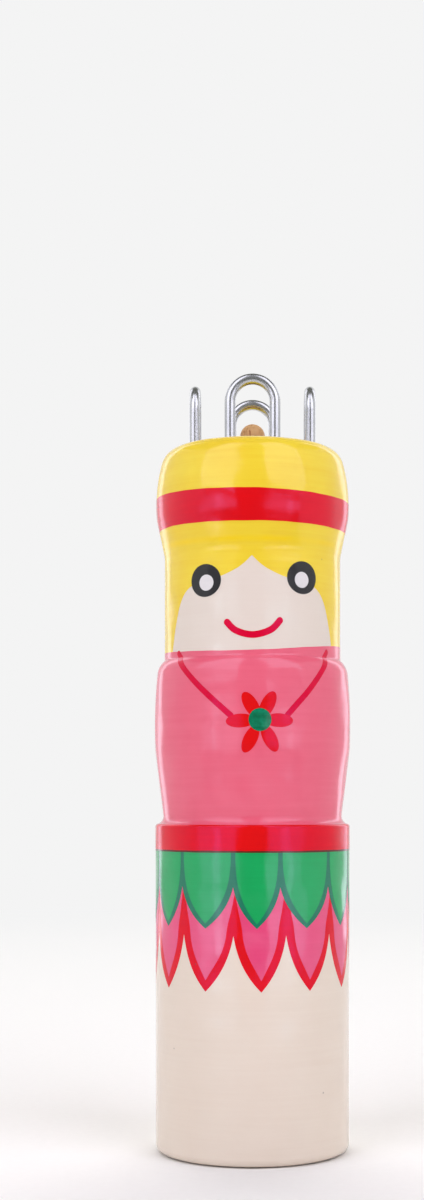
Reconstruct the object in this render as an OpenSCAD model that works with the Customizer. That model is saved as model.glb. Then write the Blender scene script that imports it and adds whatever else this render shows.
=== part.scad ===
// A knitting nancy: a turned and painted wooden doll with a bore down its whole length, four
// wire hooks in the top of its head, and a loose wooden needle that is kept in the bore.
// Lengths are in millimetres. The origin is the centre of the base, +Z is up, and the doll's
// face looks along -Y.

/* [Turned body] */
// Height of the skirt, from the base to the waist
skirt_h = 46.7; // [36:0.1:60]
// Height of the torso, from the waist to the top of the shoulder
torso_h = 23.7; // [19:0.1:30]
// Height of the face, from the shoulder to the crease under the crown
face_h = 15; // [11:0.1:20]
// Height of the crown, from the crease to the flat top of the head
crown_h = 14.6; // [12:0.1:20]
// Diameter of the skirt
skirt_d = 27.8; // [25:0.1:32]
// Diameter of the torso where it is widest
torso_d = 28; // [25:0.1:32]
// How far the torso is drawn in at the waist, on the radius
waist_draw = 1.2; // [0.4:0.1:2]
// Diameter of the face
face_d = 25.2; // [22:0.1:28]
// Diameter of the crown where it is widest
crown_d = 27.6; // [24.8:0.1:32]
// How far the crown is drawn in at the crease, on the radius
crease_draw = 1; // [0.4:0.1:2]
// Height above the waist at which the torso is widest
torso_belly = 13.7; // [8:0.1:16]
// Height above the crease at which the crown is widest
crown_belly = 6.6; // [5:0.1:8]
// Rounding of the shoulder
shoulder_round = 2.8; // [1:0.1:3.5]
// Rounding of the crown's top edge
crown_round = 3; // [1:0.1:3.5]
// Rounding of the foot's edge
foot_round = 1.2; // [0.4:0.1:3]
// Rounding of the skirt's edge at the waist
belt_round = 0.5; // [0.2:0.1:0.6]
// Fillet between the skirt and the waist
waist_fillet = 0.5; // [0.2:0.1:0.7]

/* [Bore] */
// Diameter of the bore
bore_d = 10; // [9:0.1:11.5]
// Width of the lead at each mouth of the bore
bore_lead = 0.8; // [0.2:0.1:1.2]

/* [Hooks] */
// Diameter of the hooks' wire
wire_d = 1.5; // [1:0.1:1.8]
// Clear width between the two legs of a hook
hook_gap = 4.7; // [4:0.1:5.5]
// Height of a hook above the top of the head
hook_rise = 9; // [6:0.1:12]
// Length of a hook's legs inside the head, with their points
hook_depth = 9; // [5:0.1:11]
// Length of the point on each leg
hook_point = 1.4; // [0.6:0.1:2]
// Diameter of the end of each point
hook_point_d = 0.6; // [0.3:0.1:0.9]
// Thickness of wood between the bore and the hooks' wire
hook_wall = 2.4; // [1.6:0.1:3]
// Clearance round a leg in its hole, on the radius
hook_clear = 0.02; // [0.01:0.01:0.05]
// Clearance under a leg in its hole
hook_end_clear = 0.3; // [0.1:0.1:0.6]

/* [Needle] */
// Diameter of the needle
needle_d = 3.6; // [2.6:0.1:4]
// Length of the needle
needle_l = 104; // [80:1:130]
// Length of the taper towards the point
needle_taper = 24; // [12:1:40]
// Diameter of the rounded point
needle_tip_d = 1.4; // [0.8:0.1:2]
// Clearance between the standing needle and the wall of the bore
needle_clear = 0.25; // [0.15:0.05:0.4]
// Clearance between the needle's point and the surface under the doll
needle_lift = 0.3; // [0.1:0.1:0.6]

/* [Hidden] */
$fn = 96;

// Heights of the steps between the turned sections
shoulder_z = skirt_h + torso_h;
crease_z = shoulder_z + face_h;
top_z = crease_z + crown_h;
// How far a cutter runs past the face that it cuts
over = 1;
// How far a barrel's rounded edge is set out, so that its arc crosses the barrel's
edge_set_out = 0.01;
// Centre lines of a hook's legs, from the middle of the hook and from the doll's axis
leg_x = (hook_gap + wire_d) / 2;
hook_r = (bore_d + wire_d) / 2 + hook_wall;

// One length of a turned profile: everything from the axis out to an arc about [r, z],
// between two heights
module arc_slice(r, z, arc, low, high) {
  intersection() {
    translate([0, low])
      square([max(r, 0) + arc + over, high - low]);
    union() {
      translate([r, z])
        circle(arc);
      if (r > 0)
        translate([0, low])
          square([r, high - low]);
    }
  }
}

// A barrel: widest at its belly, drawn in at the bottom, with a rounded top edge
module barrel(bottom, height, wide_r, draw, belly, edge) {
  arc = (belly * belly + draw * draw) / (2 * draw);
  arc_r = wide_r - arc;
  arc_z = bottom + belly;
  top = bottom + height;
  edge_z = top - edge;
  // The edge's arc would touch the barrel's at this height, and is set out so that they cross
  touch_z = arc_z + (edge_z - arc_z) * arc / (arc - edge);
  edge_r = arc_r + sqrt(pow(arc - edge, 2) - pow(edge_z - arc_z, 2)) + edge_set_out;
  rotate_extrude()
    intersection() {
      arc_slice(arc_r, arc_z, arc, bottom, top);
      union() {
        translate([0, bottom])
          square([wide_r + over, touch_z - bottom]);
        arc_slice(edge_r, edge_z, edge, edge_z, top);
      }
    }
}

// The straight skirt, with a rounded foot and a rounded edge at the waist
module skirt() {
  r = skirt_d / 2;
  rotate_extrude() {
    arc_slice(r - foot_round, foot_round, foot_round, 0, foot_round);
    translate([0, foot_round])
      square([r, skirt_h - foot_round - belt_round]);
    arc_slice(r - belt_round, skirt_h - belt_round, belt_round, skirt_h - belt_round, skirt_h);
  }
}

// The hollow fillet that leads from the skirt's upper face into the waist
module waist() {
  r = torso_d / 2 - waist_draw + waist_fillet;
  translate([0, 0, skirt_h])
    rotate_extrude()
      difference() {
        square([r, waist_fillet]);
        translate([r, waist_fillet])
          circle(waist_fillet);
      }
}

// The bore, with a conical lead at each mouth
module bore() {
  translate([0, 0, -over])
    cylinder(d = bore_d, h = top_z + 2 * over);
  for (mouth = [0, 1])
    translate([0, 0, mouth * top_z])
      mirror([0, 0, mouth])
        translate([0, 0, -over])
          cylinder(d1 = bore_d + 2 * (bore_lead + over), d2 = bore_d, h = bore_lead + over);
}

// Places a child that is drawn about the middle of a hook on one of the doll's four sides
module at_side(turn) {
  rotate(turn)
    translate([0, -hook_r, top_z])
      children();
}

// The two holes that one hook is pressed into
module hook_holes() {
  depth = hook_depth + hook_end_clear;
  for (side = [-1, 1])
    translate([side * leg_x, 0, -depth])
      cylinder(d = wire_d + 2 * hook_clear, h = depth + over);
}

// One hook: a staple of round wire with pointed legs
module hook(turn) {
  arch_z = hook_rise - wire_d / 2 - leg_x;
  color("silver")
    at_side(turn) {
      for (side = [-1, 1])
        translate([side * leg_x, 0, -hook_depth]) {
          cylinder(d1 = hook_point_d, d2 = wire_d, h = hook_point);
          translate([0, 0, hook_point])
            cylinder(d = wire_d, h = hook_depth - hook_point + arch_z);
        }
      translate([0, 0, arch_z])
        rotate([90, 0, 0])
          rotate_extrude(angle = 180)
            translate([leg_x, 0])
              circle(d = wire_d);
    }
}

module turned_body() {
  difference() {
    union() {
      color("mediumseagreen")
        skirt();
      color("palevioletred") {
        waist();
        barrel(skirt_h, torso_h, torso_d / 2, waist_draw, torso_belly, shoulder_round);
      }
      color("antiquewhite")
        translate([0, 0, shoulder_z - shoulder_round])
          cylinder(d = face_d, h = face_h + shoulder_round);
      color("gold")
        barrel(crease_z, crown_h, crown_d / 2, crease_draw, crown_belly, crown_round);
    }
    bore();
    for (turn = [0:90:270])
      at_side(turn)
        hook_holes();
  }
}

module hook_front() { hook(0); }
module hook_right() { hook(90); }
module hook_back() { hook(180); }
module hook_left() { hook(270); }

// The needle stands point down in the bore, close to the wall at the doll's back
module needle() {
  tip_r = needle_tip_d / 2;
  butt_r = needle_d / 2;
  color("burlywood")
    translate([0, bore_d / 2 - butt_r - needle_clear, needle_lift])
      rotate_extrude() {
        arc_slice(0, tip_r, tip_r, 0, tip_r);
        polygon([
          [0, tip_r],
          [tip_r, tip_r],
          [butt_r, needle_taper],
          [butt_r, needle_l - butt_r],
          [0, needle_l - butt_r]
        ]);
        arc_slice(0, needle_l - butt_r, butt_r, needle_l - butt_r, needle_l);
      }
}

turned_body();
hook_front();
hook_right();
hook_back();
hook_left();
needle();
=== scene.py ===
# %% [markdown]
# # A painted knitting nancy
#
# A knitting nancy is a small turned wooden doll with a hole down its middle and four wire hooks on its
# head. Yarn is looped round the hooks, a stick lifts each loop over the next, and a knitted cord grows
# out at the foot. The solid model gives the frame: it is loaded first and never moved. Everything here
# is worked out in millimetres and turned to metres only when a mesh is made.

import bpy
import numpy as np
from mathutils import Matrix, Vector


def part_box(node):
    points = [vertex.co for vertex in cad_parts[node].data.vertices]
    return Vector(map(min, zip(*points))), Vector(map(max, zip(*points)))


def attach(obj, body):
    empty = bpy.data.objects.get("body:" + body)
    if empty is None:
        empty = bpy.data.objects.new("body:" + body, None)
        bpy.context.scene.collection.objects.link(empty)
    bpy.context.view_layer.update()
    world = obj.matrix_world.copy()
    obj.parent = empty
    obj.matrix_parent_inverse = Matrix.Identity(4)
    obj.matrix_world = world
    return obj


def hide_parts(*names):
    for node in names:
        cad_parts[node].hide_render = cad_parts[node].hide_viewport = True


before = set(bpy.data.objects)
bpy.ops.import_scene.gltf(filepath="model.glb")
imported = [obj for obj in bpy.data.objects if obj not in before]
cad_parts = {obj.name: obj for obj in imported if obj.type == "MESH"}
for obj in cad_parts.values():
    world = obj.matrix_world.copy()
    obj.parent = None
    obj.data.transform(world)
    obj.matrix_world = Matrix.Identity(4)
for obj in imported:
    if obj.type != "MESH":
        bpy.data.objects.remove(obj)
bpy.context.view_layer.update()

MM = 0.001

# %% [markdown]
# ## From arrays to a mesh
#
# A mesh can be built point by point, but Blender also takes whole arrays: all the points at once, then
# all the four-sided faces. Each piece stays at the origin with its place in its points. Edges that turn
# by more than a set angle are marked sharp, so that a thin edge doesn't smear the shading of a face.

# %% A piece from points and faces
SHARP_DEG = 40


def new_mesh_object(name, points, faces, material):
    """An object from points in millimetres, shaped (..., 3), and faces of four point numbers each."""
    mesh = bpy.data.meshes.new(name)
    flat = np.asarray(points, float).reshape(-1, 3) * MM
    mesh.vertices.add(len(flat))
    mesh.vertices.foreach_set("co", flat.ravel())
    mesh.loops.add(faces.size)
    mesh.loops.foreach_set("vertex_index", faces.ravel())
    mesh.polygons.add(len(faces))
    mesh.polygons.foreach_set("loop_start", np.arange(0, faces.size, 4))
    mesh.update(calc_edges=True)
    mesh.validate()
    mesh.shade_smooth()
    mesh.set_sharp_from_angle(angle=np.radians(SHARP_DEG))
    mesh.materials.append(material)
    obj = bpy.data.objects.new(name, mesh)
    bpy.context.scene.collection.objects.link(obj)
    return obj


def grid_quads(rows, columns, wrap_rows=False, wrap_columns=False):
    """Faces of a grid of points: each joins a point to the next in its row and in its column."""
    number = np.arange(rows * columns).reshape(rows, columns)
    across = np.roll(number, -1, axis=1)
    up = np.roll(number, -1, axis=0)
    both = np.roll(up, -1, axis=1)
    quads = np.stack([number, across, both, up], axis=-1)
    last_row = rows if wrap_rows else rows - 1
    last_column = columns if wrap_columns else columns - 1
    return quads[:last_row, :last_column].reshape(-1, 4)


print("a grid of 3 by 4 points:", len(grid_quads(3, 4)), "faces")

# %% [markdown]
# ## The turned profile
#
# A turner cuts the doll from one blank with a profile of straight lines and arcs, so its surface is that
# profile carried round the axis. Torso and crown are barrels, each with one long arc that is widest at
# the belly and a small arc that rounds its top edge. The measures are those of the solid model.

# %% Measures and barrels
top_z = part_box("turned_body")[1].z / MM
waist_z, shoulder_z, crease_z = 46.7, 70.4, 85.4
skirt_r, torso_r, face_r, crown_r = 13.9, 14.0, 12.6, 13.8
waist_draw, crease_draw = 1.2, 1.0
torso_belly, crown_belly = 13.7, 6.6
shoulder_round, crown_round, foot_round, belt_round = 2.8, 3.0, 1.2, 0.5
bore_r, bore_lead = 5.0, 0.8
LONG_ARC_POINTS, EDGE_ARC_POINTS = 240, 160


def arc_points(r, z, radius, start_deg, end_deg, count=48):
    """Points on a circle about (r, z), from one angle to another."""
    angle = np.radians(np.linspace(start_deg, end_deg, count))
    return np.column_stack([r + radius * np.cos(angle), z + radius * np.sin(angle)])


def long_side(bottom, wide_r, draw, belly):
    """The circle of a barrel's long arc, as (r, z, radius). It is widest at the belly and drawn in at the
    bottom, so its radius is the sum of both squares over twice the draw."""
    radius = (belly**2 + draw**2) / (2 * draw)
    return wide_r - radius, bottom + belly, radius


def rounded_edge(side, top, edge):
    """The circle of the small arc that rounds a barrel's top edge and touches its long arc from inside."""
    r, z, radius = side
    edge_z = top - edge
    return r + np.sqrt((radius - edge) ** 2 - (edge_z - z) ** 2), edge_z, edge


def barrel_points(side, belly, edge_side):
    """A barrel's outline: the long arc from its foot to where the small arc touches it, and the small arc
    from there to the level top."""
    touch_deg = np.degrees(np.arctan2(edge_side[1] - side[1], edge_side[0] - side[0]))
    foot_deg = -np.degrees(np.arcsin(belly / side[2]))
    long_arc = arc_points(*side, foot_deg, touch_deg, LONG_ARC_POINTS)
    return np.vstack([long_arc, arc_points(*edge_side, touch_deg, 90, EDGE_ARC_POINTS)])


torso_side = long_side(waist_z, torso_r, waist_draw, torso_belly)
shoulder_side = rounded_edge(torso_side, shoulder_z, shoulder_round)
torso = barrel_points(torso_side, torso_belly, shoulder_side)
crown_side = long_side(crease_z, crown_r, crease_draw, crown_belly)
crown = barrel_points(crown_side, crown_belly, rounded_edge(crown_side, top_z, crown_round))
print(f"long arcs of {torso_side[2]:.1f} mm on the torso and {crown_side[2]:.1f} mm on the crown")

# %% [markdown]
# Paint and sanding change the turning a little. Paint gathers in the hollows at the waist, the neck and
# under the crown and fills them to coves. Below the two bellies the painted side turns in sooner, over a
# shorter arc. A bump could hint at such small turns, but they decide where the reflection of a window
# ends on the doll, so they belong in the profile.

# %% Coves and tucks
# A straight side counts as an arc of this radius
FLAT = 1e4
WAIST_COVE_R, NECK_COVE_R, CREASE_COVE_R = 1.1, 0.4, 4.4
# The slopes in degrees at which the shorter arc starts and ends, from the belly down, and its radius
TORSO_TUCK, CROWN_TUCK = (1.8, 7.0, 18), (3.6, 11.5, 10.7)


def cove_points(lower, upper, radius):
    """The hollow arc that touches two round sides, given as (r, z, radius): its centre is as far from each
    side's centre as both radii together, on the outer of the two places where that is so."""
    low, high = np.array(lower[:2]), np.array(upper[:2])
    low_reach, high_reach = lower[2] + radius, upper[2] + radius
    gap = np.hypot(*(high - low))
    ahead = (high - low) / gap
    along = (low_reach**2 - high_reach**2 + gap**2) / (2 * gap)
    centre = low + along * ahead + np.sqrt(low_reach**2 - along**2) * np.array([ahead[1], -ahead[0]])
    start, end = (np.degrees(np.arctan2(*(side - centre)[::-1])) % 360 for side in (low, high))
    return arc_points(*centre, radius, start, end)


def tucked(side, from_deg, to_deg, radius):
    """Below its belly a barrel turns in over a shorter arc, between two slopes in degrees, and then runs
    straight: the arc's points from its lower end up, and the straight side."""
    from_way, to_way = (np.array([np.cos(a), -np.sin(a)]) for a in np.radians([from_deg, to_deg]))
    arc = arc_points(*(side[:2] + (side[2] - radius) * from_way), radius, -to_deg, -from_deg)
    return arc, (*(arc[0] - FLAT * to_way), FLAT)


belt_side = (skirt_r - belt_round, waist_z - belt_round, belt_round)
face_side = (face_r - FLAT, (shoulder_z + crease_z) / 2, FLAT)
torso_tuck, torso_cone = tucked(torso_side, *TORSO_TUCK)
crown_tuck, crown_cone = tucked(crown_side, *CROWN_TUCK)
waist_cove = cove_points(belt_side, torso_cone, WAIST_COVE_R)
neck_cove = cove_points(shoulder_side, face_side, NECK_COVE_R)
crease_cove = cove_points(face_side, crown_cone, CREASE_COVE_R)
for hollow, cove in (("waist", waist_cove), ("neck", neck_cove), ("crease", crease_cove)):
    print(f"cove at the {hollow}: heights of {cove[0, 1]:.2f} to {cove[-1, 1]:.2f} mm")

# %% [markdown]
# All this is joined to one closed run of points in the plane of radius and height: up the outside from
# the base, in over the top of the head, and down the bore. Everything painted on the doll is then placed
# by two numbers only: the angle round the axis and the length along this run.

# %% One closed run
belt_turn_deg = np.degrees(np.arctan2(*(waist_cove[0] - belt_side[:2])[::-1]))
lead_r = bore_r + bore_lead
profile = np.vstack([
    [[lead_r, 0]],
    arc_points(skirt_r - foot_round, foot_round, foot_round, -90, 0),
    arc_points(*belt_side, 0, belt_turn_deg),
    waist_cove,
    torso_tuck,
    torso[(torso[:, 1] > torso_tuck[-1, 1]) & (torso[:, 1] < neck_cove[0, 1])],
    neck_cove,
    crease_cove,
    crown_tuck,
    crown[crown[:, 1] > crown_tuck[-1, 1]],
    [[lead_r, top_z], [bore_r, top_z - bore_lead], [bore_r, bore_lead], [lead_r, 0]],
])
run = np.append(0, np.cumsum(np.hypot(*np.diff(profile, axis=0).T)))

# Where the outside begins and ends along the run, and where the head's top meets the bore's lead
foot_run = skirt_r - foot_round - lead_r
rim_run = run[-5]
lead_run = run[-4]
print(f"run: {len(run)} points, {run[-1]:.1f} mm all the way round")

# %% [markdown]
# Two functions read the run: one gives the place and the outward direction at a length, the other finds
# the length at a height. They are tried on the solid's own points, which lie on the run wherever paint
# leaves the turning as it is.

# %% Places on the run
NORMAL_STEP = 0.03
# Level stretches get this much rise a point, so that every height has one place
RISE = 1e-7
# The hooks' holes lie further in than this, and at a level step a height has no single radius
OUTSIDE_R, STEP_MARGIN = 10.5, 0.05


def profile_at(along):
    """Radius and height at a length along the run, and the outward normal, square to a short step."""
    r, z = (np.interp(along, run, column) for column in profile.T)
    ahead, behind = along + NORMAL_STEP, along - NORMAL_STEP
    dr, dz = (np.interp(ahead, run, column) - np.interp(behind, run, column) for column in profile.T)
    size = np.hypot(dr, dz)
    return r, z, dz / size, -dr / size


def run_at(z):
    """Length along the run at which the outside reaches a height."""
    outside = (run >= foot_run) & (run <= rim_run)
    rising = profile[outside, 1] + RISE * np.arange(outside.sum())
    return np.interp(z, rising, run[outside])


solid_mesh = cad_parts["turned_body"].data
solid = np.empty(3 * len(solid_mesh.vertices))
solid_mesh.vertices.foreach_get("co", solid)
solid = solid.reshape(-1, 3) / MM
solid_r = np.hypot(solid[:, 0], solid[:, 1])
from_step = np.abs(solid[:, 2, None] - np.array([0, waist_z, top_z])).min(axis=1)
outer = (solid_r > OUTSIDE_R) & (from_step > STEP_MARGIN)
inset = solid_r[outer] - profile_at(run_at(solid[outer, 2]))[0]
print(f"run: up to {inset.max():.3f} mm inside the solid and, in the coves, {-inset.min():.3f} mm outside")

# %% [markdown]
# ## Colours and shader nodes
#
# Colours are written in sRGB hex, and one function turns them to the linear values that a shader wants.
# Node trees could be wired by hand in the editor, but one small function that adds, sets and links a node
# keeps each finish down to a few lines.

# %% Colour and node helpers
# A Mix node's sockets when it mixes colours: the share of the second, the two colours, and the result
SHARE, FIRST, SECOND, MIXED = 0, 6, 7, 2


def paint_colour(code):
    """Linear red, green, blue and alpha of an sRGB hex colour."""
    srgb = np.array([int(code[i:i + 2], 16) for i in (0, 2, 4)]) / 255
    linear = np.where(srgb <= 0.04045, srgb / 12.92, ((srgb + 0.055) / 1.055) ** 2.4)
    return (*linear.tolist(), 1.0)


def add(tree, kind, sockets=None, **settings):
    """Adds a shader node, applies its settings, and sets or links its input sockets. A node that is given
    for a socket is linked by its first output."""
    node = tree.nodes.new("ShaderNode" + kind)
    for key, value in settings.items():
        setattr(node, key, value)
    for key, value in (sockets or {}).items():
        if isinstance(value, bpy.types.Node):
            tree.links.new(value.outputs[0], node.inputs[key])
        elif isinstance(value, bpy.types.NodeSocket):
            tree.links.new(value, node.inputs[key])
        else:
            node.inputs[key].default_value = value
    return node


def new_finish(name):
    """An empty material, its node tree and the Object coordinates that its patterns read."""
    material = bpy.data.materials.new(name)
    material.use_nodes = True
    material.node_tree.nodes.clear()
    place = add(material.node_tree, "TexCoord").outputs["Object"]
    return material, material.node_tree, place


def per_mm(size):
    """Pattern scale for features of a size in millimetres, in cells per metre."""
    return 1 / (np.asarray(size) * MM)


print("the belt's red in linear light:", np.round(paint_colour("E81207"), 3).tolist())

# %% [markdown]
# ## Bare beech
#
# Where there is no paint, in the bore and under the base, the doll is plain beech: pale, a little pink,
# with short darker flecks that lie along the grain. The blank's grain runs up the doll, so the noise is
# stretched along Z. A picture of wood would do, but a noise keeps its size and has no seams.

# %% Beech finish
BAND_MM, PORE_MM, FLECK_MM = (2.2, 2.2, 45), (0.22, 0.22, 5), (0.35, 0.35, 2.2)
PORE_DEPTH = 0.03


def beech(name, pale, dark, fleck):
    """Sanded beech: broad soft bands, fine pores and short flecks along Z, matt with a little sheen."""
    material, tree, place = new_finish(name)
    bands, pores, flecks = (
        add(tree, "TexNoise", {
            "Vector": add(tree, "Mapping", {"Vector": place, "Scale": per_mm(size)}),
            "Scale": 1.0, "Detail": detail})
        for size, detail in ((BAND_MM, 3.0), (PORE_MM, 2.0), (FLECK_MM, 1.0)))
    # Only the peaks of the last noise are flecks
    sparse = add(tree, "MapRange", {"Value": flecks, "From Min": 0.62, "From Max": 0.72})
    tone = paint_colour(pale)
    for share, coat in ((bands, dark), (pores, dark), (sparse, fleck)):
        mix = add(tree, "Mix", {SHARE: share, FIRST: tone, SECOND: paint_colour(coat)}, data_type="RGBA")
        tone = mix.outputs[MIXED]
    rough = add(tree, "MapRange", {"Value": pores, "To Min": 0.48, "To Max": 0.66})
    bump = add(tree, "Bump", {"Height": pores, "Strength": 0.5, "Distance": PORE_DEPTH * MM})
    shader = add(tree, "BsdfPrincipled", {
        "Base Color": tone, "Roughness": rough, "Normal": bump, "IOR": 1.5, "Specular IOR Level": 0.35})
    add(tree, "OutputMaterial", {"Surface": shader})
    return material


bare_beech = beech("sanded_beech", "E3C6A0", "C99E72", "A87648")
print("finish:", bare_beech.name)

# %% [markdown]
# ## The wooden core
#
# The core is the profile carried round the axis. It could be a Screw modifier on a curve, but as a grid
# of run by angle the depth can change along the way: under the paint the wood is sunk by the thickness
# of the coats, and in the bore and under the base, where it is bare, it keeps its true surface.

# %% Core of the doll
COAT_DEPTH, COAT_RAMP = 0.2, 0.25
CORE_ROWS, CORE_COLUMNS = 280, 144
# The wood is sunk from a little way under the base to just inside the bore's lead
paint_from = foot_run - 0.5
paint_to = lead_run + 0.45


def carried(angle_deg, r, z):
    """Points carried round the axis: the angle turns from the doll's front towards +X, so x is
    r sin(angle) and y is -r cos(angle)."""
    turn = np.radians(angle_deg)
    return np.stack(np.broadcast_arrays(r * np.sin(turn), -r * np.cos(turn), z), axis=-1)


def on_doll(angle_deg, along, depth):
    """Points at an angle and a length along the run, sunk square to the surface by a depth."""
    r, z, out_r, out_z = profile_at(along)
    return carried(angle_deg, r - depth * out_r, z - depth * out_z)


def full_turn(count):
    """Angles once round the doll."""
    return np.arange(count) * 360 / count


# Even rows, with every sixth point of the arcs and the corners at the bore put in between
even_run = np.linspace(0, run[-1], CORE_ROWS, endpoint=False)
core_run = np.unique(np.concatenate([even_run, run[:-1][::6], run[-5:-1]]))
ramp_ends = [paint_from, paint_from + COAT_RAMP, paint_to - COAT_RAMP, paint_to]
covered = np.interp(core_run, ramp_ends, [0, 1, 1, 0])
core_points = on_doll(full_turn(CORE_COLUMNS), core_run[:, None], COAT_DEPTH * covered[:, None])
core_faces = grid_quads(len(core_run), CORE_COLUMNS, wrap_rows=True, wrap_columns=True)
core = new_mesh_object("wooden_core", core_points, core_faces, bare_beech)
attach(core, "doll")
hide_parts("turned_body")
print(f"core: {len(core_faces)} faces, wood sunk {COAT_DEPTH} mm under the paint")

# %% [markdown]
# ## Lacquered paint
#
# The doll is brush painted and then lacquered. The brush and the lathe leave fine streaks that run
# round the doll, and the colour lies thicker in some places than in others. Along the crease under the
# crown, patches of a deeper colour are painted shade. Each of these marks is a noise at its real size,
# so nothing has to be drawn or stored as a picture.

# %% Brush marks and painted shade
STREAK_MM, CLOUD_MM = (14, 14, 0.55), 6.5
# How far painted shade reaches from a crease, how far it is full, and how much it covers there
PAINTED_SHADE_REACH, PAINTED_SHADE_FULL, PAINTED_SHADE_SHARE = 0.6, 0.1, 0.9


def brush_marks(tree, place, cloud_mm):
    """Streaks round the doll, clouds of thicker paint, and the sum of the two."""
    stretched = add(tree, "Mapping", {"Vector": place, "Scale": per_mm(STREAK_MM)})
    streaks = add(tree, "TexNoise", {"Vector": stretched, "Scale": 1.0, "Detail": 4.0, "Roughness": 0.65})
    clouds = add(tree, "TexNoise", {"Vector": place, "Scale": per_mm(cloud_mm), "Detail": 3.0})
    both = add(tree, "Math", {0: streaks, 1: clouds}, operation="ADD")
    return streaks, clouds, both


def painted_shade_share(tree, place, clouds, painted_shade_z):
    """Painted shade along a crease at a height: less with the distance from it, and only in patches."""
    height = add(tree, "SeparateXYZ", {"Vector": place}).outputs["Z"]
    off = add(tree, "Math", {0: height, 1: painted_shade_z * MM}, operation="SUBTRACT")
    near = add(tree, "Math", {0: off}, operation="ABSOLUTE")
    line = add(tree, "MapRange", {
        "Value": near, "From Min": PAINTED_SHADE_REACH * MM, "From Max": PAINTED_SHADE_FULL * MM, "To Max": PAINTED_SHADE_SHARE})
    patches = add(tree, "MapRange", {"Value": clouds, "From Min": 0.3, "From Max": 0.55})
    return add(tree, "Math", {0: line, 1: patches}, operation="MULTIPLY")


print("streaks in cells a metre, along x, y, z:", np.round(per_mm(STREAK_MM)).tolist())

# %% [markdown]
# A few specks of dust are caught in the lacquer, and its surface isn't flat. Broad sags bend the
# reflection of a window, and streaks, specks and a faint orange peel ripple it. All of that is too slight
# to change the outline, so it goes into the normal that the shader reads, not into the mesh.

# %% Specks and ripples
SPECK_MM, PEEL_MM, SAG_MM = 3.4, 0.9, 4.5
SAG_DEPTH, RIPPLE_DEPTH = 0.25, 0.016
# Radius of a speck as a share of its cell, from where it fades to where it is full
SPECK_FADE, SPECK_FULL = 0.05, 0.03
# Cells whose own random number is above this have a speck
SPECK_ABOVE = 0.72


def dust_specks(tree, place):
    """Rare round dots: the middles of some cells of a cell pattern."""
    cells = add(tree, "TexVoronoi", {"Vector": place, "Scale": per_mm(SPECK_MM)})
    dots = add(tree, "MapRange", {
        "Value": cells.outputs["Distance"], "From Min": SPECK_FADE, "From Max": SPECK_FULL})
    number = add(tree, "SeparateColor", {"Color": cells.outputs["Color"]})
    chosen = add(tree, "Math", {0: number, 1: SPECK_ABOVE}, operation="GREATER_THAN")
    return add(tree, "Math", {0: dots, 1: chosen}, operation="MULTIPLY")


def lacquer_relief(tree, place, streaks, specks):
    """Normal of the lacquer: the sum of streaks, orange peel and specks, on top of the broad sags."""
    peel = add(tree, "TexNoise", {"Vector": place, "Scale": per_mm(PEEL_MM), "Detail": 1.0})
    ripple = add(tree, "Math", {0: streaks, 1: peel}, operation="ADD")
    ripple = add(tree, "Math", {0: ripple, 1: specks}, operation="ADD")
    sag = add(tree, "TexNoise", {"Vector": place, "Scale": per_mm(SAG_MM), "Detail": 0.0})
    bent = add(tree, "Bump", {"Height": sag, "Strength": 1.0, "Distance": SAG_DEPTH * MM})
    return add(tree, "Bump", {
        "Height": ripple, "Strength": 0.7, "Distance": RIPPLE_DEPTH * MM, "Normal": bent})


print(f"specks: {2 * SPECK_FULL * SPECK_MM:.1f} mm wide, {1 - SPECK_ABOVE:.0%} of cells of {SPECK_MM} mm")

# %% [markdown]
# One finish serves every colour, as one brush and one lacquer did on the doll. It mixes the paint with
# its thicker shade, then lays painted shade along a crease and the specks over it. The gloss is clear
# enough to show the edge of a window, and a little duller where the paint lies thick.

# %% Paint finish
# The sum of two noises stays within about these values
MARKS_LOW, MARKS_HIGH = 0.7, 1.3
# Lacquer's roughness, from where the paint lies thin to where it is thick
SMOOTH, ROUGH = 0.1, 0.2
SPECK_SHARE = 0.45


def lacquered(name, colour, shade, speck="6B5A4E", amount=0.5, painted_shade=None, gloss=0.5, cast="FFFFFF",
              cloud_mm=CLOUD_MM):
    """Glossy brushed paint: clouds and streaks mix the colour with its shade by an amount, painted shade
    along a crease at a height shows a deeper colour, and rare specks lie on top. The gloss has a strength
    and a cast."""
    material, tree, place = new_finish(name)
    streaks, clouds, both = brush_marks(tree, place, cloud_mm)
    specks = dust_specks(tree, place)
    marks = {"Value": both, "From Min": MARKS_LOW, "From Max": MARKS_HIGH}
    coats = [(add(tree, "MapRange", {**marks, "To Max": amount}), shade)]
    # Painted shade: a deeper colour in patches along a crease
    if painted_shade:
        painted_shade_z, deep = painted_shade
        coats.append((painted_shade_share(tree, place, clouds, painted_shade_z), deep))
    coats.append((add(tree, "Math", {0: specks, 1: SPECK_SHARE}, operation="MULTIPLY"), speck))
    tone = paint_colour(colour)
    for share, coat in coats:
        mix = add(tree, "Mix", {SHARE: share, FIRST: tone, SECOND: paint_colour(coat)}, data_type="RGBA")
        tone = mix.outputs[MIXED]
    rough = add(tree, "MapRange", {**marks, "To Min": SMOOTH, "To Max": ROUGH})
    shader = add(tree, "BsdfPrincipled", {
        "Base Color": tone, "Roughness": rough, "Normal": lacquer_relief(tree, place, streaks, specks),
        "IOR": 1.49, "Specular IOR Level": gloss, "Specular Tint": paint_colour(cast)})
    add(tree, "OutputMaterial", {"Surface": shader})
    return material


print(f"lacquer: roughness from {SMOOTH} to {ROUGH}")

# %% [markdown]
# The paints differ in more than colour. One gloss for all would be simpler, but on the doll a window looks
# crimson in the reds, and pale and cool in the cream. So each paint sets the strength of its gloss and
# its cast, the tint of what it reflects.

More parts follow.
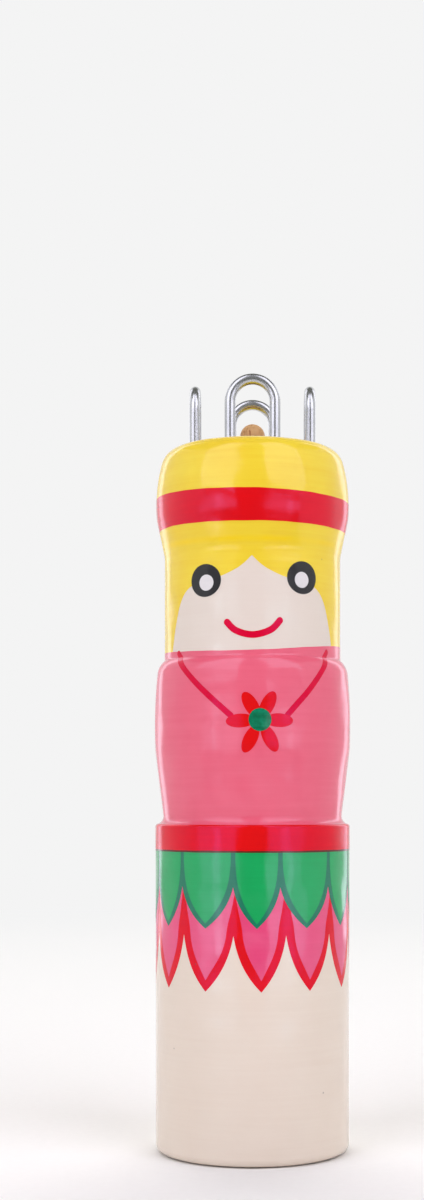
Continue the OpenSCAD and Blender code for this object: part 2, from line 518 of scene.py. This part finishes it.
# %% The paints
CRIMSON_CAST = "B592FF"
cream_paint = lacquered("cream_paint", "EDDCCC", "E7D3C2", gloss=0.6, cast="C0F8FF")
red_paint = lacquered("red_paint", "E81207", "D5100C", gloss=0.46, cast=CRIMSON_CAST)
band_paint = lacquered("band_red_paint", "E80807", "D5060C", gloss=0.6, cast="C4B4FF")
pink_paint = lacquered("pink_paint", "EF6880", "E85772", gloss=0.6, cast="C8F4FF")
petal_paint = lacquered("deep_pink_paint", "EE477C", "E43B6F", gloss=1.05, cast="C4F4FF")
leaf_paint = lacquered("leaf_green_paint", "12AC5A", "0C9E50", gloss=0.78, cast="D6CCFF")
border_paint = lacquered("grey_green_paint", "1A7E5E", "127050", gloss=0.6, cast="E4E0FF")
# A deeper yellow in the crease under the crown is painted shade
hair_paint = lacquered("yellow_paint", "F7DA3C", "EDC118", painted_shade=(crease_z + 0.2, "F9D414"))
face_paint = lacquered("skin_paint", "EADCD0", "E6D5C8", gloss=0.6, cast="D0FFFF")
smile_paint = lacquered("carmine_paint", "E20331", "D00329", cast=CRIMSON_CAST)
strap_paint = lacquered("crimson_paint", "E0042C", "CF0326", gloss=0.42, cast=CRIMSON_CAST)
# The flower's centre is dabbed on, so its clouds are small and strong
disc_paint = lacquered("sea_green_paint", "00603D", "0F8A64", amount=1.0, gloss=0.36, cloud_mm=0.8)
black_paint = lacquered("black_paint", "242326", "1A191C", speck="4A474C")
white_paint = lacquered("white_paint", "E6E2E2", "DCD8D9")
brown_paint = lacquered("dark_brown_paint", "5A2513", "46190C")
print("paints:", sorted(m.name for m in bpy.data.materials if m.name.endswith("_paint")))

# %% [markdown]
# ## Coats of paint as thin films
#
# The painter works from the ground coat up, and each colour lies a hair above the one before. A mask in
# one shader could paint the lot, but an edge made of geometry stays sharp at any distance and in the
# exported model. So every colour is a film: a grid of angle and run, laid on the turned surface, with
# the same grid a little deeper behind it and a narrow wall all round. Layers count from the wood up.

# %% Films and rings
LAYER = 0.015
TOP_LAYER = 8
TOP_DEPTH = 0.012
FILM = 0.09
RING_COLUMNS = 360


def film(name, angle_deg, along, layer, material, ring=False):
    """A closed film of paint over one grid or a stack of grids: the front lies at its layer's depth, the
    back one film deeper, and walls join the two along every open edge."""
    angle_deg, along = np.broadcast_arrays(angle_deg, along)
    rows, columns = angle_deg.shape[-2:]
    size = rows * columns
    depth = TOP_DEPTH + (TOP_LAYER - layer) * LAYER
    sides = [on_doll(angle_deg, along, depth + behind).reshape(-1, size, 3) for behind in (0, FILM)]
    points = np.stack(sides, axis=1)
    number = np.arange(size).reshape(rows, columns)
    loops = [number[0], number[-1, ::-1]]
    if not ring:
        loops = [np.concatenate([number[0, :-1], number[:-1, -1], number[-1, :0:-1], number[:0:-1, 0]])]
    quads = grid_quads(rows, columns, wrap_columns=ring)
    walls = [np.stack([edge, edge + size, np.roll(edge, -1) + size, np.roll(edge, -1)], axis=-1)
             for edge in loops]
    faces = np.vstack([quads, quads[:, ::-1] + size, *walls])
    copies = 2 * size * np.arange(len(points))
    piece = new_mesh_object(name, points, (faces + copies[:, None, None]).reshape(-1, 4), material)
    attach(piece, "doll")
    print(f"{name}: {len(points)} film(s), {len(piece.data.polygons)} faces, layer {layer}")


def eased(count):
    """Steps from 0 to 1 that crowd together at both ends, where edges and roundings are."""
    return (1 - np.cos(np.pi * np.linspace(0, 1, count))) / 2


ring_deg = full_turn(RING_COLUMNS)


def ring_film(name, edges, rows, layer, material, angle_deg=ring_deg):
    """A film once round the doll. Its edges, and any lines between them that its rows should keep to, are
    lengths along the run, from the lowest up, and rows gives the count of rows from each to the next."""
    edges = [np.broadcast_to(edge, angle_deg.shape) for edge in edges]
    along = [low + (high - low) * eased(count)[:, None] for low, high, count in zip(edges, edges[1:], rows)]
    along = np.vstack([along[0]] + [part[1:] for part in along[1:]])
    film(name, angle_deg, along, layer, material, ring=True)


print(f"fronts of the films: {TOP_DEPTH} to {TOP_DEPTH + TOP_LAYER * LAYER:.3f} mm under the surface")

# %% [markdown]
# ## Legs
#
# The ground coat of the skirt is a warm cream that shows as the doll's legs, from under the petals to
# the foot. It wraps a little way under the base, where its edge wanders because nobody looks there. A
# noise could move the edge, but a few slow waves look more like a hand that goes round once.

# %% Cream legs
BELT_LAP = 0.6
FOOT_LAP, FOOT_WANDER = 0.35, 0.12
belt_low = 43.1


def hand(angle_deg, size, start=0.0):
    """The slow wander of a hand-held brush: three waves round the doll, of a given size in millimetres."""
    turn = np.radians(angle_deg)
    waves = np.sin(5 * turn + start) + 0.7 * np.sin(11 * turn + 2 * start) + 0.5 * np.sin(23 * turn)
    return size * waves / 2


under_belt = run_at(belt_low + BELT_LAP)
foot_edge = foot_run - FOOT_LAP + hand(ring_deg, FOOT_WANDER)
ring_film("cream_legs", [foot_edge, run_at(foot_round), under_belt], [14, 24], 0, cream_paint)

# %% [markdown]
# ## A skirt of petals and leaves
#
# Twelve pointed petals hang under twelve leaves. Each is drawn twice: a broad outline, and a fill that
# leaves the outline showing. The outlines join up, so they are one ring with a scalloped lower edge, and
# a rounded leaf is a power curve: the width falls slowly at first and then quickly towards the tip.

# %% Scalloped outlines
AROUND = 12
SCALLOP_WANDER = 0.05


def valleys_beside(tips_deg, drift):
    """Angles of the valleys before and after each tip. They lie midway between tips, but drift to and fro
    in turn, so that every second petal is a little narrower, as the hand spaced them."""
    after = (tips_deg + np.append(tips_deg[1:], tips_deg[0] + 360)) / 2
    after = after + drift * (-1.0) ** np.arange(1, len(tips_deg) + 1)
    return np.append(after[-1] - 360, after[:-1]), after


def scallops(tips_deg, drift, length, spread, power, per_side=32):
    """Angles round the doll and the lower edge there. With w the share of the way from a tip to the
    valley beside it, the edge hangs below the belt by length * (1 - w / spread) ** (1 / power)."""
    before, after = valleys_beside(tips_deg, drift)
    way = np.arange(per_side) / per_side
    falling = before[:, None] + (tips_deg - before)[:, None] * way
    rising = tips_deg[:, None] + (after - tips_deg)[:, None] * way
    both_ways = np.append(1 - way, way)
    drop = length * (1 - both_ways / spread) ** (1 / power)
    angle = np.hstack([falling, rising])
    return angle.ravel(), np.broadcast_to(belt_low - drop, angle.shape).ravel()


leaf_tips, leaf_drift = np.linspace(2.5, 332.3, AROUND), 1.6
petal_tips, petal_drift = np.linspace(5.0, 332.3, AROUND), 0.5
angle, edge = scallops(petal_tips, petal_drift, length=19.2, spread=1.116, power=4.4)
edge_run = run_at(edge + hand(angle, SCALLOP_WANDER))
ring_film("petal_outlines", [edge_run, under_belt], [8], 1, red_paint, angle)
angle, edge = scallops(leaf_tips, leaf_drift, length=10.6, spread=1.086, power=3.3)
edge_run = run_at(edge + hand(angle, SCALLOP_WANDER, 1))
ring_film("leaf_outlines", [edge_run, under_belt], [8], 3, border_paint, angle)

# %% [markdown]
# The fills are single leaves, all alike, laid side by side. The pink petals have a waist where the red
# outline is at its broadest, so their edge is a smooth curve through a few points. The green leaves
# follow the power curve of their outline.

# %% Petal and leaf fills
FILL_ROWS, FILL_COLUMNS = 49, 25
across = np.linspace(-1, 1, FILL_COLUMNS)


def through(points, share):
    """A smooth curve through a few points. On each span it is the cubic that leaves and meets the points
    along the line between their neighbours."""
    points = np.asarray(points, float)
    slope = np.gradient(points, axis=0)
    place = np.asarray(share) * (len(points) - 1)
    span = np.minimum(place.astype(int), len(points) - 2)
    u = (place - span)[:, None]
    return (points[span] * (1 + 2 * u) * (1 - u) ** 2 + slope[span] * u * (1 - u) ** 2
            + points[span + 1] * u**2 * (3 - 2 * u) + slope[span + 1] * u**2 * (u - 1))


def reach_beside(tips_deg, drift):
    """Degrees from each tip to the valley on the side that a column lies, shaped to widen a grid."""
    before, after = valleys_beside(tips_deg, drift)
    return np.where(across < 0, (tips_deg - before)[:, None], (after - tips_deg)[:, None])[:, None, :]


# Half width in degrees and height in millimetres, from the tip up
petal_points = [(0.1, 25.5), (6.6, 28.6), (9.3, 30.7), (10.5, 32.9), (12.4, 35.2), (14.5, 38.4)]
half, height = through(petal_points, np.linspace(0, 1, FILL_ROWS)).T[:, :, None]
# The half width is for a petal of this reach, and every second petal is wider on its right
PETAL_REACH, LEAN = 14.9, 0.13
lean = LEAN * (np.arange(AROUND) % 2)[:, None, None] * (across > 0)
wide = half * (1 + lean) * reach_beside(petal_tips, petal_drift) / PETAL_REACH
film("pink_petals", petal_tips[:, None, None] + wide * across, run_at(height), 2, petal_paint)

# Heights of a leaf's top and tip, and the border between two leaves in degrees
leaf_top, leaf_tip, leaf_border = belt_low + 0.3, 33.2, 2.8
LEAF_POWER, TIP_HALF_DEG = 2.9, 0.1
up = eased(FILL_ROWS)[:, None]
height = leaf_tip + (leaf_top - leaf_tip) * up
leaf_reach = reach_beside(leaf_tips, leaf_drift) - leaf_border / 2
wide = TIP_HALF_DEG + leaf_reach * (1 - (1 - up) ** LEAF_POWER)
film("green_leaves", leaf_tips[:, None, None] + wide * across, run_at(height), 4, leaf_paint)

# %% [markdown]
# ## Belt
#
# A red belt covers the top of the skirt and rolls over its rounded edge into the waist. A thin dark line
# parts it from the leaves. Both are rings, and the line runs on a little way under the belt, so that no
# gap can show.

# %% Belt and its line
BELT_TOP, LINE_DROP, LINE_LAP = 46.66, 0.26, 0.2
LINE_WANDER, EDGE_WANDER = 0.02, 0.03
belt_end = run_at(BELT_TOP)
line_low = run_at(belt_low - LINE_DROP + hand(ring_deg, LINE_WANDER, 2))
ring_film("belt_line", [line_low, run_at(belt_low + LINE_LAP)], [5], 5, brown_paint)
belt_edge = run_at(belt_low + hand(ring_deg, EDGE_WANDER, 3))
ring_film("red_belt", [belt_edge, run_at(waist_z - belt_round), belt_end], [10, 16], 6, red_paint)

# %% [markdown]
# ## Shirt
#
# The pink shirt starts in the hollow of the waist, swells over the belly and rounds the shoulder. Its
# upper edge isn't level: it was painted by eye, and climbs a little to one side of the chin. Its rows
# keep to the lines where the profile bends, so that the bends stay crisp.

# %% Pink shirt
# Height of the edge under the chin, how far it climbs to one side, and how far to both
NECK_Z, NECK_CLIMB, NECK_RISE = 70.45, 0.45, 0.8
BELT_UNDERLAP = 0.15
side = np.sin(np.radians(ring_deg))
neck_z = NECK_Z + NECK_CLIMB * side + NECK_RISE * side**2
neck_edge = run_at(neck_z + hand(ring_deg, EDGE_WANDER, 4))
bends = [run_at(z) for z in (waist_cove[-1, 1], shoulder_side[1], neck_cove[0, 1])]
ring_film("pink_shirt", [belt_end - BELT_UNDERLAP, *bends, neck_edge], [16, 50, 20, 14], 5, pink_paint)

# %% [markdown]
# ## Straps and flower
#
# Two thin straps come down from the neck to a flower on the chest. A brush stroke is a line with a width
# and round ends: the grid runs along the line one way and across it the other. A curve object with a
# bevel would give a round cord, and a stroke of paint is flat, so it is a film like the rest.

# %% Strokes and straps
STRAP_W = 0.82
# A stroke's ends keep this half width, so that no face there shrinks to nothing
END_HALF = 0.01


def stroke(points, width, radius, columns=9, count=120):
    """Grid of a brush stroke on a surface of this radius: a smooth line through points of angle and
    height, widened square to itself, with the width falling off in a half circle at both ends."""
    angle_deg, z = through(points, eased(count)).T
    line = np.column_stack([np.radians(angle_deg) * radius, z])
    step = np.gradient(line, axis=0)
    length = np.hypot(*step.T)
    square = np.column_stack([-step[:, 1], step[:, 0]]) / length[:, None]
    gone = np.append(0, np.cumsum(np.hypot(*np.diff(line, axis=0).T)))
    to_end = np.minimum(np.minimum(gone, gone[-1] - gone) / (width / 2), 1)
    half = END_HALF + width / 2 * np.sqrt(1 - (1 - to_end) ** 2)
    grid = line + np.linspace(-1, 1, columns)[:, None, None] * (half[:, None] * square)
    return np.degrees(grid[..., 0] / radius), grid[..., 1]


left_strap = stroke([(-56, 70.6), (-47, 68.7), (-34.2, 66.0), (-23, 63.7), (-11, 61.2)], STRAP_W, torso_r)
right_strap = stroke([(19, 61.3), (26, 63.1), (33.1, 64.8), (44, 67.6), (56, 70.8)], STRAP_W, torso_r)
angle, height = (np.stack(pair) for pair in zip(left_strap, right_strap))
film("red_straps", angle, run_at(height), 6, strap_paint)

# %% [markdown]
# The flower is six petals round a green centre. A disc could be a fan of triangles about a pole, but a
# square grid squeezed into a circle has no pole and keeps its faces even. Each petal is that grid as an
# ellipse, moved out and turned, and all six are worked out in one array.

# %% Flower on the chest
def disc(half_width, half_height, count=41):
    """Square grid squeezed into an ellipse: each side is drawn in by the square root of one minus half
    the square of the other."""
    u, v = np.meshgrid(np.linspace(-1, 1, count), np.linspace(-1, 1, count))
    return half_width * u * np.sqrt(1 - v**2 / 2), half_height * v * np.sqrt(1 - u**2 / 2)


def film_at(name, centre_deg, centre_z, p, q, radius, layer, material):
    """A film drawn flat, as p millimetres to the right and q up from a point of the doll, and wrapped."""
    film(name, centre_deg + np.degrees(p / radius), run_at(centre_z + q), layer, material)


flower_deg, flower_z, disc_r = 4.2, 60.88, 1.56
petal_turn = np.radians([-1.6, 62.5, 121.7, 183, 243.3, 298.2])[:, None, None]
petal_end = np.array([4.64, 4.28, 4.32, 4.7, 4.95, 4.87])[:, None, None]
petal_half_l, petal_half_w = 2.0, 0.94
out, aside = disc(petal_half_l, petal_half_w, 33)
out = petal_end - petal_half_l + out
p = out * np.cos(petal_turn) - aside * np.sin(petal_turn)
q = out * np.sin(petal_turn) + aside * np.cos(petal_turn)
film_at("flower_petals", flower_deg, flower_z, p, q, torso_r, 7, red_paint)
film_at("flower_centre", flower_deg, flower_z, *disc(disc_r, disc_r), torso_r, 8, disc_paint)

# %% [markdown]
# ## Face
#
# The face is a pale ground coat on the straight part of the head, with two round eyes, white in the
# middle of black, and one curved stroke for a smile. The eyes don't quite match, as on the real doll.
# They use the disc from above, and the smile the stroke.

# %% Face, eyes and smile
FACE_LOW, FACE_HIGH = shoulder_z - 0.5, crease_z - 2
# Half width and half height of the black and of the white
EYE_HALF, WHITE_HALF = (2.42, 2.25), (1.13, 1.1)
WHITE_DROP, SMILE_W = 0.31, 0.9
ring_film("face_coat", [run_at(FACE_LOW), run_at(FACE_HIGH)], [20], 3, face_paint)
eye_deg = np.array([-31.1, 33.1])[:, None, None]
eye_z = np.array([80.06, 80.47])[:, None, None]
white_deg = eye_deg + np.array([0.8, -0.5])[:, None, None]
white_z = eye_z - WHITE_DROP
film_at("eyes", eye_deg, eye_z, *disc(*EYE_HALF), face_r, 5, black_paint)
film_at("eye_whites", white_deg, white_z, *disc(*WHITE_HALF), face_r, 6, white_paint)
smile_line = [(-17.5, 74.55), (-10.5, 73.1), (0.3, 72.5), (11.5, 73.2), (18.7, 74.8)]
angle, height = stroke(smile_line, SMILE_W, face_r)
film("smile", angle, run_at(height), 5, smile_paint)

# %% [markdown]
# ## Hair
#
# The hair is yellow from the top of the head down to the neck at the back. In front it parts over the
# nose into two lobes that run behind the eyes and then drop beside the cheeks. It is one film from the
# fringe over the crown to the rim of the bore, with more rows where the surface bends.

# %% Hair
RIM_LAP, RIM_WANDER = 0.35, 0.1
# Degrees from the parting and height of the fringe, one side standing for both
fringe_points = [(0, 83.3), (5, 82.25), (10.4, 81.45), (20, 80.55), (32, 79.9), (44, 79.2), (52, 77.4),
                 (58, 74.2), (63, 70.3)]
fringe = through(fringe_points, np.linspace(0, 1, 400))
parting_deg = -0.4
# Half a degree between columns where the fringe shows, and one and a half at the back
fringe_columns, back_columns = np.linspace(-66, 66, 265), np.linspace(66, 294, 153)
angle = parting_deg + np.append(fringe_columns, back_columns[1:-1])
from_parting = np.abs((angle - parting_deg + 180) % 360 - 180)
fringe_z = np.interp(from_parting, fringe[:, 0], fringe[:, 1])
rim_edge = lead_run + RIM_LAP + hand(angle, RIM_WANDER, 5)
bends = [run_at(z) for z in (*crease_cove[[0, -1], 1], top_z - crown_round)]
hair_lines = [run_at(fringe_z), *bends, rim_run, rim_edge]
ring_film("hair", hair_lines, [8, 12, 26, 24, 12], 4, hair_paint, angle)

# %% [markdown]
# A red band goes round the head over the hair. It is a little higher on one side, so its edges follow
# the sine of the angle, with the wander of the hand on top.

# %% Head band
# Height of each edge in front and how far it drops to one side
BAND_LOW, BAND_HIGH = (87.9, 0.12), (92.3, 0.33)
BAND_WANDER = 0.04
band_edges = [run_at(z - drop * side + hand(ring_deg, BAND_WANDER, start))
              for (z, drop), start in ((BAND_LOW, 6), (BAND_HIGH, 7))]
ring_film("head_band", band_edges, [24], 5, band_paint)

# %% [markdown]
# ## Wire hooks
#
# The four hooks are staples of drawn steel wire, and the solid model already has their true shape. They
# stay as they are and get a metal finish. Drawing leaves wire bright, with a grain too fine to see from
# a step away, so the grain here is drawn coarser, just enough to soften the highlights.

# %% Steel finish
GRAIN_MM, STAIN_MM = 0.18, 2.5
GRAIN_DEPTH = 0.004


def drawn_steel(name, colour, dull):
    """Bright steel wire: a fine grain that varies the gloss and breaks up the reflection a little."""
    material, tree, place = new_finish(name)
    grain = add(tree, "TexNoise", {"Vector": place, "Scale": per_mm(GRAIN_MM), "Detail": 3.0})
    stains = add(tree, "TexNoise", {"Vector": place, "Scale": per_mm(STAIN_MM), "Detail": 2.0})
    tone = add(tree, "Mix", {
        SHARE: stains, FIRST: paint_colour(colour), SECOND: paint_colour(dull)}, data_type="RGBA")
    rough = add(tree, "MapRange", {"Value": grain, "To Min": 0.18, "To Max": 0.32})
    bump = add(tree, "Bump", {"Height": grain, "Strength": 0.15, "Distance": GRAIN_DEPTH * MM})
    shader = add(tree, "BsdfPrincipled", {
        "Base Color": tone.outputs[MIXED], "Metallic": 1.0, "Roughness": rough, "Normal": bump})
    add(tree, "OutputMaterial", {"Surface": shader})
    return material


steel = drawn_steel("drawn_steel_wire", "D2D3D5", "B4B6BA")
for node in ("hook_front", "hook_right", "hook_back", "hook_left"):
    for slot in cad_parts[node].material_slots:
        slot.material = steel
print("hooks finished in", steel.name)

# %% [markdown]
# ## Needle
#
# The needle is a thin stick of the same kind of wood, a little darker from handling and waxed. Its solid
# stays too, and takes the beech finish in warmer colours.

# %% Needle finish
waxed_beech = beech("waxed_beech", "DDB987", "C4935F", "9C6638")
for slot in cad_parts["needle"].material_slots:
    slot.material = waxed_beech
print("needle finished in", waxed_beech.name)

# %% [markdown]
# ## Floor and backdrop
#
# A studio sweep is one pale sheet of paper that lies flat under the object and curves up into a wall, so
# that no line shows where the floor ends. A white world would do for the camera alone. Here the wall
# shines white for the camera, and for mirror and glass rays too, so metal shows the same background. The
# floor near the doll only takes the light that falls on it, and keeps the doll's shadow.

# %% Paper finish
FIBRE_MM = 1.2
# Metres from the doll at which the paper starts to shine and is all white
SHINE_FROM, SHINE_FULL = 0.1, 0.55

# Matt paper: faint fibres and hardly any sheen, so that a large pale surface stays quiet
paper, tree, place = new_finish("matt_paper")
fibres = add(tree, "TexNoise", {"Vector": place, "Scale": per_mm(FIBRE_MM), "Detail": 4.0})
tone = add(tree, "Mix", {
    SHARE: fibres, FIRST: paint_colour("FAF9F7"), SECOND: paint_colour("F5F4F2")}, data_type="RGBA")
matt = add(tree, "BsdfPrincipled", {
    "Base Color": tone.outputs[MIXED], "Roughness": 0.9, "Specular IOR Level": 0.1})
away = add(tree, "VectorMath", {0: place}, operation="LENGTH")
fade = add(tree, "MapRange", {
    "Value": away.outputs["Value"], "From Min": SHINE_FROM, "From Max": SHINE_FULL},
    interpolation_type="SMOOTHSTEP")
rays = add(tree, "LightPath").outputs
seen = add(tree, "Math", {0: rays["Is Camera Ray"], 1: rays["Is Glossy Ray"]}, operation="MAXIMUM")
seen = add(tree, "Math", {0: seen, 1: rays["Is Transmission Ray"]}, operation="MAXIMUM")
white = add(tree, "Math", {0: seen, 1: fade}, operation="MULTIPLY")
glow = add(tree, "Emission", {"Color": paint_colour("F4F4F4"), "Strength": 1.0})
surface = add(tree, "MixShader", {0: white, 1: matt, 2: glow})
add(tree, "OutputMaterial", {"Surface": surface})
print("finish:", paper.name)

# %% [markdown]
# The sweep's section is a floor, a quarter circle and a wall, carried round the axis. The stretch in
# front of the doll is there only for pictures taken from behind. It is hidden from the lacquer, which
# would mirror it as a white sheet.

# %% Paper sweep
TABLE_R, FLAT_R, FLOOR_R, SWEEP_R, WALL_TOP = 260, 800, 1000, 300, 1300
# The floor starts a little way under the table and a hair lower, so that no two faces share a plane
TABLE_LAP, FLOOR_DROP = 5, 0.01
WALL_FROM_DEG, WALL_TO_DEG, WALL_COLUMNS = 62, 298, 49
section = np.vstack([
    [[TABLE_R - TABLE_LAP, -FLOOR_DROP], [FLAT_R, -FLOOR_DROP]],
    arc_points(FLOOR_R, SWEEP_R, SWEEP_R, -90, 0, 24),
    [[FLOOR_R + SWEEP_R, WALL_TOP]],
])


def paper_wall(name, from_deg, to_deg, material):
    """A stretch of the sweep: its section carried round the axis from one angle to another."""
    points = carried(np.linspace(from_deg, to_deg, WALL_COLUMNS), section[:, :1], section[:, 1:])
    return new_mesh_object(name, points, grid_quads(*points.shape[:2])[:, ::-1], material)


table_x, table_y = disc(TABLE_R, TABLE_R)
table_points = np.stack([table_x, table_y, np.zeros_like(table_x)], axis=-1)
table = new_mesh_object("paper_table", table_points, grid_quads(*table_x.shape), paper)
sweep = paper_wall("paper_sweep", WALL_FROM_DEG, WALL_TO_DEG, paper)
dim_front = paper_wall("paper_front", WALL_TO_DEG, WALL_FROM_DEG + 360, paper)
dim_front.visible_glossy = dim_front.visible_diffuse = dim_front.visible_shadow = False
for piece in (table, sweep, dim_front):
    print(piece.name, "first normal:", [round(v, 2) for v in piece.data.polygons[0].normal])

# %% [markdown]
# ## Light
#
# Two soft windows stand left and right of the camera: a low pane with a brighter core, a dim one above it
# and a tall bright one that stands nearer. A round surface shows them as upright pale strips. Two narrow
# windows behind do the same for the doll's back. The windows are a little cool and the dim even world a
# little warm. A broad panel above and behind the doll fills in, and the strengths are set so that a paint
# renders about as its colour is written.

# %% Windows, panel and world
# Turn from the front and spread in degrees, distance, lower and upper edge in metres, and radiance
PANES = {
    "low": (41.2, 48, 1.2, -0.12, 0.17, 1.5),
    "core": (42.5, 9, 1.15, -0.12, 0.17, 1.3),
    "dim": (41.2, 48, 1.2, 0.17, 0.4, 0.35),
    "tall": (41.2, 48, 0.4, 0.177, 1.5, 2.15),
    "back": (140, 13, 0.4, 0.0, 0.6, 1.6),
}
PANEL_PLACE, PANEL_W, PANEL_H, PANEL_WATTS = (0, 0.72, 0.885), 1.2, 0.7, 7.2
WORLD_STRENGTH = 0.2
COOL, WARM, NEUTRAL = (0.90, 0.88, 1.0), (0.99, 1.0, 0.88), (0.95, 0.945, 0.935)


def soft_light(name, place, target, width, height, watts, colour):
    """A rectangular area light at a place, turned to face a target, and hidden from the camera."""
    data = bpy.data.lights.new(name, "AREA")
    data.shape = "RECTANGLE"
    data.size, data.size_y, data.energy, data.color = width, height, watts, colour
    lamp = bpy.data.objects.new(name, data)
    lamp.location = place
    away = np.subtract(place, target)
    lamp.rotation_euler = (np.arctan2(np.hypot(*away[:2]), away[2]), 0, np.arctan2(away[0], -away[1]))
    lamp.visible_camera = False
    bpy.context.scene.collection.objects.link(lamp)
    return lamp


for hand_side, way in (("left", -1), ("right", 1)):
    for pane, (turn_deg, spread_deg, distance, low, high, radiance) in PANES.items():
        middle, tall = (low + high) / 2, high - low
        wide = 2 * distance * np.tan(np.radians(spread_deg / 2))
        pane_place = carried(way * turn_deg, distance, middle)
        # An area light's radiance is its watts divided by pi and by its area
        watts = radiance * np.pi * wide * tall
        lamp = soft_light(f"{hand_side}_{pane}_pane", pane_place, (0, 0, middle), wide, tall, watts, COOL)
        # The windows behind only glint in the lacquer: so near, they would light a corner of the floor
        lamp.visible_diffuse = pane != "back"
panel = soft_light("back_panel", PANEL_PLACE, (0, 0, 0), PANEL_W, PANEL_H, PANEL_WATTS, NEUTRAL)
# The panel only fills in: its mirror image would draw a line along the shoulder
panel.visible_glossy = False
world = bpy.data.worlds.new("even_room")
world.use_nodes = True
background = world.node_tree.nodes["Background"].inputs
background["Color"].default_value = (*WARM, 1)
background["Strength"].default_value = WORLD_STRENGTH
bpy.context.scene.world = world
bpy.context.scene.view_settings.view_transform = "Standard"

# %% [markdown]
# ## Camera
#
# The camera looks level at the doll's waist from about a forearm's length away. The doll stands low in a
# tall frame, so the sensor is shifted and the camera stays level: tilting it would make the doll's sides
# lean. The lens and the shift come from the frame's size in pixels.

# %% Camera
FRAME_W, FRAME_H = 424, 1200
# Pixels of the doll's axis and of the camera's own height, and the focal length in pixels
AXIS_X, LEVEL_Y, FOCAL_PX = 252.5, 800, 1784
CAMERA_AWAY, CAMERA_Z = 0.255, 0.05
lens = bpy.data.cameras.new("camera")
lens.sensor_width = 36
lens.lens = FOCAL_PX * lens.sensor_width / FRAME_H
lens.shift_x = (FRAME_W / 2 - AXIS_X) / FRAME_H
lens.shift_y = (LEVEL_Y - FRAME_H / 2) / FRAME_H
camera = bpy.data.objects.new("camera", lens)
camera.location = (0, -CAMERA_AWAY, CAMERA_Z)
camera.rotation_euler = (np.pi / 2, 0, 0)
bpy.context.scene.collection.objects.link(camera)
bpy.context.scene.camera = camera
print(f"lens {lens.lens:.1f} mm, shift {lens.shift_x:.3f}, {lens.shift_y:.3f}")
